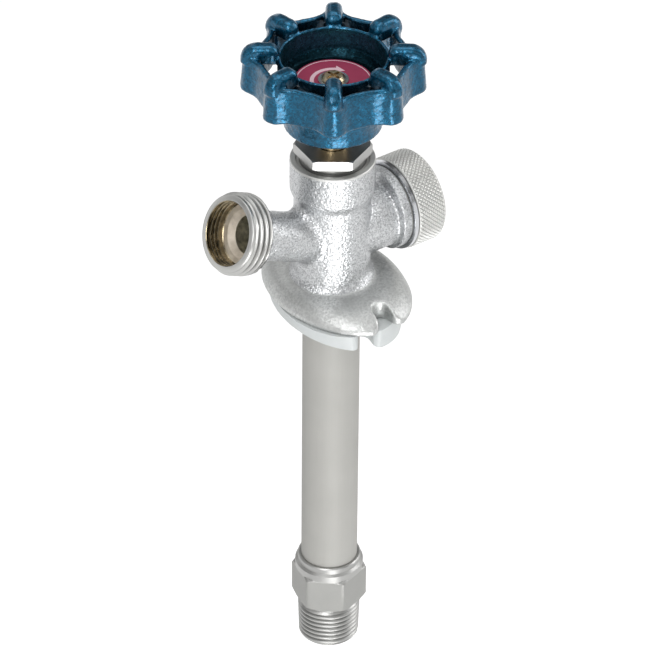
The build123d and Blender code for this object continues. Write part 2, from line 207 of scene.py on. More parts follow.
def painted_shade(tree, colour, dark, reach, start, end):
    """The colour with painted shade: darkened where the surface lies in a groove or pocket of about that
    reach.
    """
    open_air = tree.nodes.new("ShaderNodeAmbientOcclusion")
    feed(tree, reach, open_air.inputs["Distance"])
    return two_colours(tree, spread(tree, open_air.outputs["AO"], 0, 1, start, end), dark, colour)


def cast_plated():
    """Nickel plate over a rough sand casting: a pebbled surface of bright and dark grains."""
    pebble_count = 1450
    pit_count = 1900
    pit_depth = 0.17 * mm
    pebble_height = 0.20 * mm
    dark = (0.37, 0.38, 0.39)
    light = (0.72, 0.73, 0.74)
    tree, shader = new_material("cast_plated")
    point = object_point(tree)
    pebbles = tree.nodes.new("ShaderNodeTexVoronoi")
    pebbles.feature = "SMOOTH_F1"
    feed(tree, pebble_count, pebbles.inputs["Scale"])
    feed(tree, 0.6, pebbles.inputs["Smoothness"])
    feed(tree, point, pebbles.inputs["Vector"])
    pits = noise_value(tree, point, pit_count, detail=3.0, rough=0.6)
    cloud = noise_value(tree, point, 120, detail=2.0)
    grain = spread(tree, pits, 0, 1, start=0.36, end=0.56)
    feed(tree, two_colours(tree, grain, dark, light), shader.inputs["Base Color"])
    feed(tree, spread(tree, cloud, 0.26, 0.38), shader.inputs["Roughness"])
    pitted = bump(tree, pits, pit_depth, 0.8)
    feed(tree, bump(tree, pebbles.outputs["Distance"], pebble_height, 0.9, pitted), shader.inputs["Normal"])
    feed(tree, 1.0, shader.inputs["Metallic"])


def cast_satin():
    """The same plate where the casting was dressed smooth, on the flange."""
    pit_count = 1300
    pit_depth = 0.20 * mm
    dark = (0.50, 0.51, 0.505)
    light = (0.76, 0.77, 0.76)
    worn = (0.54, 0.55, 0.54)
    tree, shader = new_material("cast_satin")
    point = object_point(tree)
    pits = noise_value(tree, point, pit_count, detail=3.0, rough=0.6)
    cloud = noise_value(tree, point, 110, detail=3.0)
    mottle = two_colours(tree, spread(tree, pits, 0, 1, start=0.36, end=0.60), dark, light)
    patches = spread(tree, cloud, 0, 1, start=0.3, end=0.7)
    feed(tree, two_colours(tree, patches, worn, mottle), shader.inputs["Base Color"])
    feed(tree, spread(tree, cloud, 0.38, 0.50), shader.inputs["Roughness"])
    feed(tree, bump(tree, pits, pit_depth, 0.8), shader.inputs["Normal"])
    feed(tree, 1.0, shader.inputs["Metallic"])


def machined_plated(name, dark, light, rough, reach=1.6 * mm, shade=(0.35, 0.80), metal=1.0):
    """Bright nickel plate over turned brass, with a fine grain and a few smears, and painted shade in its
    grooves.
    """
    groove_shade_tone = 0.3
    grain_count = 3500
    grain_height = 0.01 * mm
    tree, shader = new_material(name)
    point = object_point(tree)
    cloud = noise_value(tree, point, 160, detail=3.0)
    grain = noise_value(tree, point, grain_count)
    groove = tuple(groove_shade_tone * c for c in dark)
    plate = two_colours(tree, cloud, dark, light)
    # Painted shade: the plate turns darker where the surface lies in a groove.
    feed(tree, painted_shade(tree, plate, groove, reach, *shade), shader.inputs["Base Color"])
    feed(tree, spread(tree, cloud, rough, rough + 0.12, 0.3, 0.7), shader.inputs["Roughness"])
    feed(tree, bump(tree, grain, grain_height, 0.5), shader.inputs["Normal"])
    feed(tree, metal, shader.inputs["Metallic"])


def tube_plated():
    """Satin plate over drawn tube, with faint drawing lines along it."""
    dark = (0.43, 0.425, 0.402)
    light = (0.50, 0.495, 0.47)
    line_count = 2400
    line_depth = 0.02 * mm
    tree, shader = new_material("tube_plated")
    point = object_point(tree)
    stretch = tree.nodes.new("ShaderNodeMapping")
    stretch.inputs["Scale"].default_value = (1, 1, 0.02)
    feed(tree, point, stretch.inputs["Vector"])
    lines = noise_value(tree, stretch.outputs["Vector"], line_count, detail=2.0)
    cloud = noise_value(tree, point, 60, detail=3.0)
    feed(tree, two_colours(tree, cloud, dark, light), shader.inputs["Base Color"])
    feed(tree, spread(tree, lines, 0.54, 0.66, 0.3, 0.7), shader.inputs["Roughness"])
    feed(tree, bump(tree, lines, line_depth, 0.5), shader.inputs["Normal"])
    feed(tree, 0.2, shader.inputs["Metallic"])
    feed(tree, 0.3, shader.inputs["Specular IOR Level"])


def brass(name, dark, light, rough, grain_height, metal=1.0):
    """Machined brass, darker in patches, with painted shade in its grooves and the cutter's grain."""
    groove_shade_tone = 0.25
    groove_shade_reach = 0.8 * mm
    grain_count = 2200
    tree, shader = new_material(name)
    point = object_point(tree)
    cloud = noise_value(tree, point, 420, detail=3.0)
    grain = noise_value(tree, point, grain_count, detail=2.0)
    tone = two_colours(tree, spread(tree, cloud, 0, 1, 0.3, 0.7), dark, light)
    groove = tuple(groove_shade_tone * c for c in dark)
    # Painted shade: the brass turns darker where the surface lies in a groove.
    feed(tree, painted_shade(tree, tone, groove, groove_shade_reach, 0.35, 0.75), shader.inputs["Base Color"])
    feed(tree, spread(tree, cloud, rough, rough + 0.15), shader.inputs["Roughness"])
    feed(tree, bump(tree, grain, grain_height, 0.6), shader.inputs["Normal"])
    feed(tree, metal, shader.inputs["Metallic"])


def blue_coat(name, deep, bright, gloss):
    """Metallic blue coat over a casting, with fine flakes, a hammered surface and painted shade in its
    pockets.
    """
    flake_count = 2100
    wave_count = 650
    wave_height = 0.10 * mm
    pocket_shade_tone = 0.12
    pocket_shade_reach = 9 * mm
    tree, shader = new_material(name)
    point = object_point(tree)
    flakes = tree.nodes.new("ShaderNodeTexVoronoi")
    feed(tree, flake_count, flakes.inputs["Scale"])
    feed(tree, point, flakes.inputs["Vector"])
    flake = tree.nodes.new("ShaderNodeSeparateColor")
    feed(tree, flakes.outputs["Color"], flake.inputs["Color"])
    cloud = noise_value(tree, point, 500, detail=3.0)
    clouded = spread(tree, cloud, 0.55, 1.0, 0.3, 0.7)
    tone = math_value(tree, "MULTIPLY", clouded, spread(tree, flake.outputs["Red"], 0.30, 1.0))
    coat = two_colours(tree, tone, deep, bright)
    pocket = tuple(pocket_shade_tone * c for c in deep)
    # Painted shade: the coat turns dark in pockets, crevices and joints of the wheel.
    feed(tree, painted_shade(tree, coat, pocket, pocket_shade_reach, 0.25, 0.80), shader.inputs["Base Color"])
    waves = noise_value(tree, point, wave_count, detail=2.0)
    feed(tree, bump(tree, waves, wave_height, 0.6), shader.inputs["Normal"])
    feed(tree, spread(tree, flake.outputs["Green"], 0.26, 0.42), shader.inputs["Roughness"])
    feed(tree, 0.85, shader.inputs["Metallic"])
    feed(tree, 0.2, shader.inputs["Specular IOR Level"])
    feed(tree, gloss, shader.inputs["Coat Weight"])
    feed(tree, 0.22, shader.inputs["Coat Roughness"])


def painted(name, colour, shade, rough=0.4):
    """A flat enamel whose tone drifts a little, with a fine orange-peel surface."""
    peel_count = 1500
    peel_height = 0.02 * mm
    tree, shader = new_material(name)
    point = object_point(tree)
    cloud = noise_value(tree, point, 220, detail=3.0)
    peel = noise_value(tree, point, peel_count)
    feed(tree, two_colours(tree, cloud, shade, colour), shader.inputs["Base Color"])
    feed(tree, bump(tree, peel, peel_height, 0.4), shader.inputs["Normal"])
    feed(tree, spread(tree, cloud, rough - 0.05, rough + 0.08), shader.inputs["Roughness"])


def soft_material(name, colour):
    """Rubber or moulded plastic: matt and slightly mottled."""
    mottle_height = 0.03 * mm
    tree, shader = new_material(name)
    point = object_point(tree)
    cloud = noise_value(tree, point, 700, detail=3.0)
    darker = tuple(0.7 * c for c in colour)
    feed(tree, two_colours(tree, cloud, darker, colour), shader.inputs["Base Color"])
    feed(tree, bump(tree, cloud, mottle_height, 0.5), shader.inputs["Normal"])
    feed(tree, spread(tree, cloud, 0.5, 0.75), shader.inputs["Roughness"])


cast_plated()
cast_satin()
machined_plated("machined_plated", (0.52, 0.52, 0.51), (0.66, 0.66, 0.64), 0.32)
machined_plated("fitting_plated", (0.42, 0.42, 0.41), (0.56, 0.56, 0.545), 0.32, shade=(0.25, 0.75))
machined_plated("hex_plated", (0.34, 0.34, 0.327), (0.42, 0.42, 0.402), 0.40, metal=0.35)
machined_plated("knurl_plated", (0.66, 0.66, 0.64), (0.78, 0.78, 0.76), 0.46, 0.5 * mm, (0.40, 0.90))
machined_plated("nut_plated", (0.46, 0.46, 0.45), (0.58, 0.58, 0.57), 0.30)
machined_plated("ring_plated", (0.62, 0.63, 0.65), (0.74, 0.75, 0.77), 0.10)
tube_plated()
brass("bare_brass", (0.40, 0.29, 0.15), (0.62, 0.47, 0.27), 0.20, 0.02 * mm)
# Darker brass for the mouth's wall: painted shade and dark reflection inside the mouth.
brass("mouth_brass_shaded", (0.12, 0.105, 0.07), (0.46, 0.38, 0.25), 0.18, 0.03 * mm)
brass("shoulder_brass", (0.60, 0.53, 0.43), (0.84, 0.76, 0.65), 0.50, 0.06 * mm, metal=0.4)
brass("bore_brass", (0.34, 0.33, 0.25), (0.98, 0.94, 0.78), 0.50, 0.05 * mm)
brass("screw_brass", (0.50, 0.36, 0.20), (0.86, 0.72, 0.50), 0.24, 0.03 * mm)
blue_coat("blue_paint", (0.001, 0.030, 0.058), (0.002, 0.150, 0.29), 0.6)
# Darker copies of the blue coat: painted shade inside the cup and under it, the first for the faces there
# that look up.
blue_coat("blue_shaded_floor", (0.001, 0.008, 0.012), (0.006, 0.036, 0.054), 0.0)
blue_coat("blue_shaded_inside", (0.004, 0.034, 0.050), (0.026, 0.155, 0.230), 0.1)
painted("red_plate", (0.36, 0.036, 0.095), (0.30, 0.028, 0.075), 0.5)
painted("white_ink", (0.80, 0.58, 0.63), (0.72, 0.48, 0.55))
painted("wedge_plastic", (0.70, 0.73, 0.73), (0.62, 0.65, 0.65), 0.32)
soft_material("float_plastic", (0.10, 0.10, 0.11))
soft_material("rubber", (0.03, 0.03, 0.03))
soft_material("pale_rubber", (0.42, 0.42, 0.40))
soft_material("packing", (0.08, 0.08, 0.08))
machined_plated("steel", (0.60, 0.60, 0.60), (0.78, 0.78, 0.78), 0.22)


# Mesh helpers

def smooth(mesh, angle=35):
    """Smooth shading with crisp edges beyond the angle."""
    mesh.shade_smooth()
    mesh.set_sharp_from_angle(angle=radians(angle))


def add_piece(name, mesh, material, body, slot=None):
    """A new piece of the object that rides on a body."""
    piece = bpy.data.objects.new(name, mesh)
    bpy.context.collection.objects.link(piece)
    mesh.materials.clear()
    mesh.materials.append(materials[material])
    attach(piece, body)
    slot or material
    return piece


def colour_faces(mesh, material, chosen):
    """Gives the faces that a rule picks another material."""
    number = len(mesh.materials)
    mesh.materials.append(materials[material])
    for face in mesh.polygons:
        if chosen(face):
            face.material_index = number


def skin(name, rows, place, crisp):
    """A mesh over rows of points given as (angle, height, radius), closed round the axis."""
    same_point = 0.0005 * mm
    no_size = 0.0002 * mm
    mesh = bpy.data.meshes.new(name)
    shape = bmesh.new()
    grid = []
    for row in rows:
        grid.append([shape.verts.new((r * cos(angle), r * sin(angle), height)) for angle, height, r in row])
    for low, high in zip(grid, grid[1:]):
        for step in range(len(low) - 1):
            shape.faces.new((low[step], low[step + 1], high[step + 1], high[step]))
    bmesh.ops.remove_doubles(shape, verts=shape.verts, dist=same_point)
    bmesh.ops.dissolve_degenerate(shape, edges=shape.edges, dist=no_size)
    shape.transform(place)
    shape.to_mesh(mesh)
    shape.free()
    smooth(mesh, crisp)
    return mesh


def ring_rows(rings, steps, start=0.0):
    """Rows of a turned form. Each ring is (height, radius), the radius a number or a function of angle."""
    rows = []
    for height, radius in rings:
        row = []
        for step in range(steps + 1):
            angle = start + tau * (step % steps) / steps
            row.append((angle, height, radius(angle) if callable(radius) else radius))
        rows.append(row)
    return rows


def lathe(name, rings, steps=128, place=Matrix(), crisp=35):
    """A mesh turned about Z."""
    return skin(name, ring_rows(rings, steps), place, crisp)


def upright(origin, direction):
    """The placing that turns +Z to a direction at an origin."""
    return Matrix.Translation(origin) @ Vector(direction).to_track_quat("Z", "Y").to_matrix().to_4x4()


def rise(value):
    """A smooth step from 0 to 1."""
    value = min(max(value, 0), 1)
    return value * value * (3 - 2 * value)


# Cut of a thread along one pitch: where it lies, and its share of the depth
thread_profile = (
    (0.00, 0.03), (0.04, 0.0), (0.22, 0.0), (0.27, 0.05), (0.42, 0.50), (0.56, 0.93),
    (0.60, 1.0), (0.66, 1.0), (0.70, 0.93), (0.84, 0.50), (0.97, 0.08),
)


def thread_rows(start, end, crest, depth, pitch, steps, taper=0.0, chamfer=0.8 * mm):
    """Rows of a right-hand thread between two heights, with a run-out and a chamfer at both ends."""
    run_in = 0.8 * pitch
    run_out = 0.6 * pitch
    rows = []
    for turn in range(-1, ceil((end - start) / pitch) + 1):
        for share, cut in thread_profile:
            row = []
            for step in range(steps + 1):
                height = start + (turn + share + step / steps) * pitch
                height = min(max(height, start), end)
                ends = rise((height - start) / run_in) * rise((end - height) / run_out)
                r = crest + taper * (height - end) - depth * cut * ends
                r = min(r, crest - chamfer + (end - height), crest - chamfer + (height - start))
                row.append((tau * step / steps, height, r))
            rows.append(row)
    return rows


# Castings: each starts from its solid, and gets the blends and the grain of a sand mould

def remeshed(node, voxel):
    """A new fine mesh over a CAD node, as a basis for its cast form."""
    copy = bpy.data.objects.new(node + "_copy", nodes[node].data.copy())
    copy.matrix_world = nodes[node].matrix_world
    bpy.context.collection.objects.link(copy)
    change = copy.modifiers.new("remesh", "REMESH")
    change.mode = "VOXEL"
    change.voxel_size = voxel
    bpy.context.view_layer.update()
    mesh = bpy.data.meshes.new_from_object(copy.evaluated_get(bpy.context.evaluated_depsgraph_get()))
    mesh.transform(copy.matrix_world)
    bpy.data.objects.remove(copy)
    return mesh


def relax(shape, verts, rounds):
    """Rounds of smoothing over those vertices."""
    for _ in range(rounds):
        bmesh.ops.smooth_vert(
            shape, verts=verts, factor=0.5, use_axis_x=True, use_axis_y=True, use_axis_z=True)


def roughen(shape, coarse, fine, amount, mask=None):
    """Moves each vertex a little along its normal, as sand casting does."""
    shape.normal_update()
    for vert in shape.verts:
        share = 1.0 if mask is None else mask(vert.co)
        wave = 0.6 * noise.noise(vert.co * coarse) + 0.4 * noise.noise(vert.co * fine)
        vert.co += vert.normal * amount * share * wave


def keep_inside(shape, node):
    """Holds the roughened surface inside the node's own box."""
    low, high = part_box(node)
    for vert in shape.verts:
        for axis in range(3):
            vert.co[axis] = min(max(vert.co[axis], low[axis]), high[axis])


# Body: the rough casting, and the faces that are turned on it

hose = mount("hose_thread")
hose_axis = Vector(hose["axis"]).normalized()
hose_middle = Vector(hose["pos_m"])
hose_r = hose["dims"]["r_mm"] * mm
head_back = hose_middle - hose_axis * outlet_head_length / 2
mouth = mount("hose_mouth")
mouth_r = mouth["dims"]["r_mm"] * mm
mouth_depth = mouth["dims"]["length_mm"] * mm


def body_grain(point):
    """How rough the casting is: the flange is smoother than the rest."""
    return 0.25 + 0.75 * rise((point.z - flange_top) / (5 * mm))


def foot_verts(shape):
    """The vertices round the corner between the barrel and the flange."""
    near = []
    for vert in shape.verts:
        off_axis = sqrt(vert.co.x ** 2 + vert.co.y ** 2)
        beside = barrel_r - 1.5 * mm < off_axis < barrel_r + 3.0 * mm
        level = flange_top - 1.5 * mm < vert.co.z < flange_top + 3.5 * mm
        if beside and level:
            near.append(vert)
    return near


def turned_faces(shape):
    """The casting's faces where turned pieces are drawn: outlet head, outlet bore and boss ring."""
    overlap = 0.5 * mm
    above_flange = 1.2 * flange_top
    found = []
    for face in shape.faces:
        centre = face.calc_center_median()
        along = (centre - head_back).dot(hose_axis)
        off_line = (centre - head_back - along * hose_axis).length
        past_head = along > overlap
        in_bore = along > -outlet_bore_shown and off_line < (outlet_bore_r + outlet_neck_r) / 2
        past_ring = centre.x > boss_ring_start + overlap and centre.z > above_flange
        if past_head or in_bore or past_ring:
            found.append(face)
    return found


def cast_body():
    """The casting, without the head of the outlet, the boss's ring and the collar's face."""
    mesh = remeshed("body", body_voxel)
    shape = bmesh.new()
    shape.from_mesh(mesh)
    relax(shape, shape.verts, 5)
    relax(shape, foot_verts(shape), 24)
    roughen(shape, 1000, 2000, 0.20 * mm, body_grain)
    keep_inside(shape, "body")
    cut = top_of("body") - collar_face_height
    geometry = list(shape.verts) + list(shape.edges) + list(shape.faces)
    bmesh.ops.bisect_plane(shape, geom=geometry, plane_co=(0, 0, cut), plane_no=(0, 0, 1), clear_outer=True)
    bmesh.ops.delete(shape, geom=turned_faces(shape), context="FACES")
    shape.to_mesh(mesh)
    shape.free()
    mesh.shade_smooth()
    piece = add_piece("body_casting", mesh, "cast_plated", "valve_body")
    colour_faces(mesh, "cast_satin", lambda face: face.center.z < flange_top + 0.6 * mm)
    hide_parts("body")


def collar_face():
    """Turned top of the collar with its recess round the nut."""
    top = top_of("body")
    low = top - collar_face_height - 0.05 * mm
    floor_level = top - collar_recess_depth
    edge = 0.25 * mm
    rings = [
        (low, collar_r), (top - edge, collar_r), (top, collar_r - edge), (top, collar_recess_r + edge),
        (top - edge, collar_recess_r), (floor_level, collar_recess_r),
        (floor_level + 0.02 * mm, 0.5 * collar_recess_r),
    ]
    add_piece("collar_face", lathe("collar_face", rings), "knurl_plated", "valve_body", "machined_plated")


def outlet_head():
    """Threaded head of the outlet, plated outside."""
    steps = 180
    lip = 1.2 * mm
    edge = 0.3 * mm
    start = 0.15 * mm
    end = outlet_head_length - lip
    lip_r = hose_r - 0.95 * mm
    back = [(0, outlet_neck_r - 0.4 * mm), (0, hose_r - 1.3 * mm), (start, hose_r - 1.1 * mm)]
    front = [
        (end + 0.05 * mm, lip_r), (outlet_head_length - edge, lip_r),
        (outlet_head_length, lip_r - edge), (outlet_head_length, mouth_r + mouth_edge),
    ]
    rows = ring_rows(back, steps)
    rows += thread_rows(start, end, hose_r, hose_depth, hose_pitch, steps)
    rows += ring_rows(front, steps)
    mesh = skin("outlet_head", rows, upright(head_back, hose_axis), 50)
    add_piece("outlet_head", mesh, "machined_plated", "valve_body")


def outlet_inside():
    """Bare brass of the counterbored mouth and the bore behind it, with the cutter's rings."""
    grooves = 3
    first_groove = 0.9 * mm
    plain_length = 2.6 * mm
    place = upright(head_back, hose_axis)
    top = outlet_head_length
    floor = top - mouth_depth
    spacing = (mouth_depth - plain_length) / grooves
    wall = [(top, mouth_r + mouth_edge), (top - mouth_edge, mouth_r)]
    for groove in range(grooves):
        height = top - first_groove - groove * spacing
        wall += [
            (height, mouth_r), (height - 0.15 * mm, mouth_r + 0.4 * mm),
            (height - spacing + 0.55 * mm, mouth_r + 0.5 * mm), (height - spacing + 0.3 * mm, mouth_r),
        ]
    wall += [(floor + shoulder_edge, mouth_r), (floor, mouth_r - shoulder_edge)]
    sink = floor - outlet_sink_depth
    shoulder = [(floor, mouth_r - shoulder_edge), (floor, outlet_sink_r), (sink, outlet_bore_r)]
    bore = [(sink, outlet_bore_r), (floor - outlet_bore_shown, outlet_bore_r)]
    inside = (
        # The mouth's wall takes the darker brass, painted shade for the inside of the mouth.
        ("mouth_wall", wall, "mouth_brass_shaded"),
        ("mouth_shoulder", shoulder, "shoulder_brass"),
        ("outlet_bore", bore, "bore_brass"),
    )
    for name, rings, material in inside:
        add_piece(name, lathe(name, rings, place=place), material, "valve_body", "bare_brass")


def boss_ring():
    """Turned ring of the boss that the gasket sits on."""
    height = (bottom_of("breaker_cap") + top_of("breaker_cap")) / 2
    place = upright((0, 0, height), (1, 0, 0))
    edge = 0.3 * mm
    inner_r = 0.6 * boss_ring_r
    rings = [
        (boss_ring_start, inner_r), (boss_ring_start, boss_ring_r - edge),
        (boss_ring_start + edge, boss_ring_r), (boss_ring_end - edge, boss_ring_r),
        (boss_ring_end, boss_ring_r - edge), (boss_ring_end, inner_r),
    ]
    add_piece("boss_ring", lathe("boss_ring", rings, place=place), "cast_plated", "valve_body")


# Handle

def cast_wheel():
    """The wheel with its cast blends and hammered coat, with painted shade inside the cup and under it,
    darkest on the faces there that look up.
    """
    mesh = remeshed("handle_wheel", wheel_voxel)
    shape = bmesh.new()
    shape.from_mesh(mesh)
    relax(shape, shape.verts, 4)
    roughen(shape, 450, 1200, 0.16 * mm)
    keep_inside(shape, "handle_wheel")
    shape.to_mesh(mesh)
    shape.free()
    mesh.shade_smooth()
    piece = add_piece("wheel_casting", mesh, "blue_paint", "spindle")
    floor = bottom_of("index_plate")
    rim = top_of("handle_wheel") - knuckle_rise

    def in_shade(face):
        centre = face.center
        off_axis = sqrt(centre.x ** 2 + centre.y ** 2)
        inward = face.normal.x * centre.x + face.normal.y * centre.y < 0.2 * off_axis
        in_cup = off_axis < cup_inner_r + 0.6 * mm and floor - mm < centre.z < rim - 0.5 * mm and inward
        under = off_axis < skirt_inner_r + 0.25 * mm and centre.z < floor - mm and inward
        return in_cup or under

    # Painted shade on the faces inside the cup and under the skirt, darker still where they face up.
    colour_faces(mesh, "blue_shaded_inside", in_shade)
    colour_faces(mesh, "blue_shaded_floor", lambda face: in_shade(face) and face.normal.z > 0.4)
    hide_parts("handle_wheel")


def flat_band(name, points, width, height, base):
    """A thin raised strip along points in the plane, of that width and thickness."""
    mesh = bpy.data.meshes.new(name)
    shape = bmesh.new()
    rows = []
    for number, point in enumerate(points):
        ahead = points[min(number + 1, len(points) - 1)]
        behind = points[max(number - 1, 0)]
        along = (Vector(ahead) - Vector(behind)).normalized()
        side = Vector((-along.y, along.x)) * width / 2
        corners = []
        for sign, level in ((1, base), (1, base + height), (-1, base + height), (-1, base)):
            corners.append(shape.verts.new((point[0] + sign * side.x, point[1] + sign * side.y, level)))
        rows.append(corners)
    for low, high in zip(rows, rows[1:]):
        for corner in range(4):
            after = (corner + 1) % 4
            shape.faces.new((low[corner], low[after], high[after], high[corner]))
    shape.faces.new(rows[0][::-1])
    shape.faces.new(rows[-1])
    shape.to_mesh(mesh)
    shape.free()
    return mesh


def flat_prism(name, corners, height, base):
    """A thin raised plate with those corners, of that thickness."""
    mesh = bpy.data.meshes.new(name)
    shape = bmesh.new()
    levels = []
    for level in (base, base + height):
        levels.append([shape.verts.new((x, y, level)) for x, y in corners])
    shape.faces.new(levels[0])
    shape.faces.new(levels[1][::-1])
    for corner in range(len(corners)):
        after = (corner + 1) % len(corners)
        shape.faces.new((levels[0][corner], levels[0][after], levels[1][after], levels[1][corner]))
    bmesh.ops.recalc_face_normals(shape, faces=shape.faces)
    shape.to_mesh(mesh)
    shape.free()
    return mesh


def arc_points(radius, start, end, steps):
    """Points along an arc about the axis."""
    angles = [start + (end - start) * step / steps for step in range(steps + 1)]
    return [(radius * cos(angle), radius * sin(angle)) for angle in angles]


def plate_print():
    """Generic print on the index plate: a plain ring and a curved arrow that shows which way opens."""
    base = top_of("index_plate") - 0.02 * mm
    ink = 0.06 * mm
    ring_r = 11.9 * mm
    ring_width = 0.35 * mm
    arc_r = 6.9 * mm
    arc_width = 1.3 * mm
    head_width = 3.8 * mm
    start = radians(48)
    end = radians(196)
    tip = start - radians(26)
    ring = flat_band("plate_ring", arc_points(ring_r, 0, tau, 96), ring_width, ink, base)
    arc = flat_band("arrow_arc", arc_points(arc_r, start, end, 40), arc_width, ink, base)
    polar = ((arc_r - head_width / 2, start), (arc_r + head_width / 2, start), (arc_r, tip))
    head = flat_prism("arrow_head", [(r * cos(angle), r * sin(angle)) for r, angle in polar], ink, base)
    for mesh in (ring, arc, head):
        add_piece(mesh.name, mesh, "white_ink", "spindle", "red_plate")


# Vacuum breaker

def wedge_wave(value):
    """Straight slopes between 0 and 1 that repeat with each whole number."""
    return 1 - abs(2 * (value % 1.0) - 1)


def knurled_cap():
    """Cap with a diamond knurl round it."""
    low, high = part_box("breaker_cap")
    height = (low[2] + high[2]) / 2
    length = high[0] - low[0]
    cap_r = (high[2] - low[2]) / 2
    place = upright((low[0], 0, height), (1, 0, 0))
    count = 62
    fineness = 8
    depth = 0.38 * mm
    flat_share = 1.7
    fade = 0.5 * mm
    fade_start = 0.2 * mm
    first = 0.35 * mm
    plain_end = 0.9 * mm
    pitch = tau * cap_r / count
    rows = int((length - plain_end - first) / pitch * fineness)
    last = first + rows * pitch / fineness
    rings = [(0, 0.5 * cap_r), (0, cap_r - 0.7 * mm), (0.2 * mm, cap_r - 0.35 * mm)]
    for row in range(rows + 1):
        level = first + row * pitch / fineness

        def radius(angle, row=row, level=level):
            along = row / fineness
            around = angle * count / tau
            ridge = min(1, flat_share * min(wedge_wave(around + along), wedge_wave(around - along)))
            from_start = rise((level - first + fade_start) / fade)
            from_end = rise((last + fade_start - level) / fade)
            return cap_r - depth * (1 - ridge * (from_start * from_end))
        rings.append((level, radius))
    rings += [
        (last + 0.15 * mm, cap_r - 0.6 * mm), (length - 0.15 * mm, cap_r - 1.1 * mm),
        (length, cap_r - 1.5 * mm), (length, 0.5 * mm), (length, 0.001 * mm),
    ]
    mesh = lathe("knurled_cap", rings, count * fineness, place, crisp=20)
    piece = add_piece("knurled_cap", mesh, "knurl_plated", "valve_body", "machined_plated")
    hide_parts("breaker_cap")


# Tube and inlet

def casing_tube():
    """The drawn tube, open at both ends inside its neighbours."""
    low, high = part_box("casing_tube")
    radius = high[1]
    rings = [(low[2], radius), (high[2], radius)]
    mesh = lathe("tube_drawn", rings, 160)
    piece = add_piece("tube_drawn", mesh, "tube_plated", "valve_body")
    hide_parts("casing_tube")


def hexagon(limit):
    """Radius by angle of the inlet's hex, inside a round limit."""
    def radius(around):
        turn = (around - hex_angle + pi / 6) % (pi / 3) - pi / 6
        return min(hex_flats / 2 / cos(turn), limit)
    return radius


def inlet_fitting():
    """Sleeve, hex and tapered pipe thread, with the socket seen from below."""
    low = bottom_of("inlet_fitting")
    high = top_of("inlet_fitting")
    hex_top = high - hex_drop
    hex_bottom = hex_top - hex_length
    thread_end = hex_bottom - thread_relief_length
    corner = hex_flats / sqrt(3)
    socket = mount("inlet_socket")["dims"]
    socket_r = socket["r_mm"] * mm
    socket_depth = socket["length_mm"] * mm
    thread_r = mount("inlet_thread")["dims"]["r_mm"] * mm
    tube_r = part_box("casing_tube")[1][1]
    edge = 0.35 * mm
    steps = 180
    inside = [
        (low + 1.5 * socket_depth, waterway_r), (low + socket_depth, waterway_r),
        (low + socket_depth, socket_r), (low + edge, socket_r), (low, socket_r + edge),
        (low, thread_r - 1.3 * mm),
    ]
    outside = [(thread_end, thread_relief_r), (hex_bottom, thread_relief_r)]
    corner_cut = ((0, 1.3), (0.3, 0.75), (0.55, 0.35), (0.85, 0))
    for up, cut in corner_cut:
        outside.append((hex_bottom + up * mm, hexagon(corner - cut * mm)))
    for down, cut in corner_cut[::-1]:
        outside.append((hex_top - down * mm, hexagon(corner - cut * mm)))
    outside += [
        (hex_top, sleeve_r), (high - sleeve_end, sleeve_r), (high - neck_start, neck_r),
        (high - edge, neck_r), (high, neck_r - edge), (high, tube_r),
    ]
    rows = ring_rows(inside, steps)
    rows += thread_rows(
        low + 0.05 * mm, thread_end, thread_r, pipe_depth, pipe_pitch, steps, pipe_taper, chamfer=1.1 * mm)
    rows += ring_rows(outside, steps, hex_angle + pi / 6)
    mesh = skin("fitting_turned", rows, Matrix(), 40)
    piece = add_piece("fitting_turned", mesh, "fitting_plated", "valve_body", "machined_plated")

    def on_hex(face):
        return hex_bottom - 0.2 * mm < face.center.z < hex_top - 0.5 * mm

    colour_faces(mesh, "hex_plated", on_hex)
    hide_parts("inlet_fitting")


# CAD nodes that stay: the width of their softened edges in mm, and a finish other than their slot's
bevels = {
    "packing_nut": 0.15, "stem": 0.20, "handle_screw": 0.20, "screw_washer": 0.10, "index_plate": 0.10,
    "breaker_bonnet": 0.25, "wall_wedge": 0.50, "operating_rod": 0.20, "washer_holder": 0.15,
}
own_paint = {
    "packing_nut": "nut_plated", "breaker_bonnet": "ring_plated", "handle_screw": "screw_brass",
    "breaker_gasket": "pale_rubber",
}


def dress_nodes():
    """Each CAD node takes a material, and some take a small bevel."""
    for part in record["subparts"]:
        node = nodes[part["node"]]
        node.data.materials.clear()
        node.data.materials.append(materials[own_paint.get(part["node"], part["material_slot"])])
        width = bevels.get(part["node"])
        if width is None:
            continue
        change = node.modifiers.new("bevel", "BEVEL")
        change.width = width * mm
        change.segments = 3
        change.limit_method = "ANGLE"
        change.angle_limit = radians(35)
        change.harden_normals = True


# Studio

white = (1.0, 1.0, 1.0)
pale = (0.8, 0.8, 0.8)
floor_size = 6.0
floor_drop = 0.35
floor_glow = 0.5
light_aim = (0, 0, 0.02)

# Soft boxes: name, place, width and height, power
soft_boxes = (
    ("key", (-0.95, -0.75, 0.9), (0.35, 0.9), 7),
    ("side", (1.2, -0.5, 0.5), (0.35, 1.2), 4.5),
    ("top", (0.1, 0.2, 1.4), (0.9, 0.9), 4.5),
    ("low", (-0.27, -0.62, -0.32), (0.30, 0.36), 2.1),
)


def reflected(tree, path):
    """1 for rays that come off or through glossy surfaces."""
    return math_value(tree, "MAXIMUM", path.outputs["Is Glossy Ray"], path.outputs["Is Transmission Ray"])


